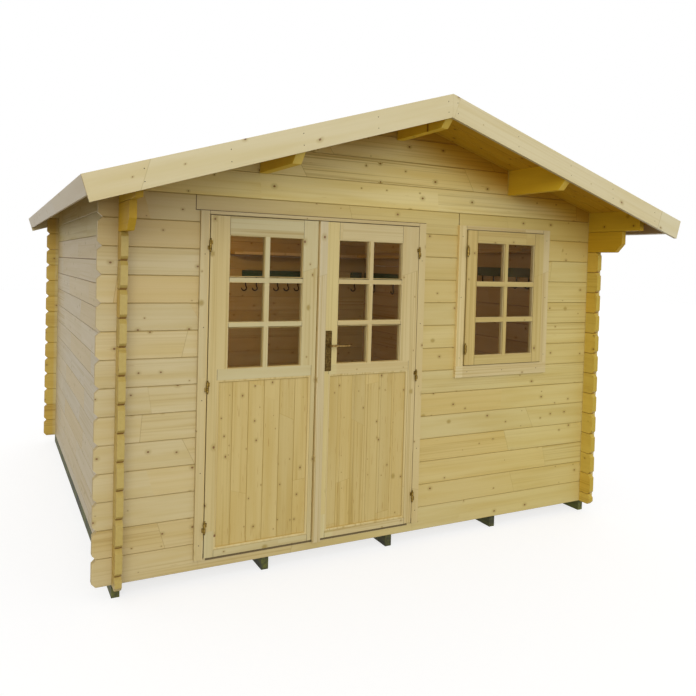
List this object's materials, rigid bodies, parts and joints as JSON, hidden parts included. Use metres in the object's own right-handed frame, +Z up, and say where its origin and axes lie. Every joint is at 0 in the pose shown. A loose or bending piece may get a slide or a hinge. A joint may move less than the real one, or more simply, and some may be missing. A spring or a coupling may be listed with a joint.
{
  "type": "garden shed",
  "caption": "Gable-roofed shed of interlocking planed logs, with glazed double doors that open, a small paned window and a deep roof overhang over the doors.",
  "frame": {"origin": "at ground level, under the middle of the roof's outline seen from above", "axes": "+Z up; the front, with the doors and the window, faces -Y; +X is to the right as seen from in front, where the window is; the ridge runs along Y"},
  "size_m": [3.656, 4.084, 2.5977],
  "materials": {
    "log_wood": "planed and clear-coated spruce",
    "board_wood": "planed spruce boards",
    "joinery_wood": "planed and clear-coated spruce",
    "treated_wood": "green-brown pressure-treated timber",
    "painted_wood": "dark green paint",
    "glass": "clear",
    "brass": "satin",
    "handle_metal": "dark antique brass"
  },
  "bodies": {
    "building": {"bearers": "treated_wood", "floor_boards": "board_wood", "front_sill_log": "log_wood", "front_wall_left": "log_wood", "front_wall_under_window": "log_wood", "front_wall_pier": "log_wood", "front_wall_right_end": "log_wood", "front_lintel_logs": "log_wood", "front_gable": "log_wood", "back_wall": "log_wood", "back_gable": "log_wood", "left_wall": "log_wood", "right_wall": "log_wood", "left_eave_logs": "log_wood", "right_eave_logs": "log_wood", "ridge_purlin": "log_wood", "left_purlin": "log_wood", "right_purlin": "log_wood", "roof_boards_left": "board_wood", "roof_boards_right": "board_wood", "front_bargeboard_left": "board_wood", "front_bargeboard_right": "board_wood", "rear_bargeboard_left": "board_wood", "rear_bargeboard_right": "board_wood", "left_fascia": "board_wood", "right_fascia": "board_wood", "door_frame": "joinery_wood", "jamb_hinges": "brass", "window_frame": "joinery_wood", "window_sash": "joinery_wood", "window_glass": "glass", "window_hinges": "brass", "wall_shelves": "board_wood", "hook_rails": "painted_wood"},
    "left_door": {"left_door_frame": "joinery_wood", "left_door_panel": "joinery_wood", "left_door_glass": "glass", "left_door_hinges": "brass"},
    "right_door": {"right_door_frame": "joinery_wood", "right_door_panel": "joinery_wood", "right_door_glass": "glass", "right_door_hinges": "brass", "cover_strip": "joinery_wood", "handle_plates": "handle_metal"},
    "lever": {"door_lever": "handle_metal"}
  },
  "joints": [
    {"name": "left_door_hinge", "type": "hinge", "parent": "building", "child": "left_door", "pos_m": [-1.1405, -1.548, 1.029], "axis": [0, 0, -1], "range_deg": [0, 140]},
    {"name": "right_door_hinge", "type": "hinge", "parent": "building", "child": "right_door", "pos_m": [0.1435, -1.548, 1.029], "axis": [0, 0, 1], "range_deg": [0, 165]},
    {"name": "lever_turn", "type": "hinge", "parent": "right_door", "child": "lever", "pos_m": [-0.448, -1.52, 1.227], "axis": [0, 1, 0], "range_deg": [0, 40], "stiffness_Nm_per_rad": 0.8, "springref_deg": -28.65}
  ]
}
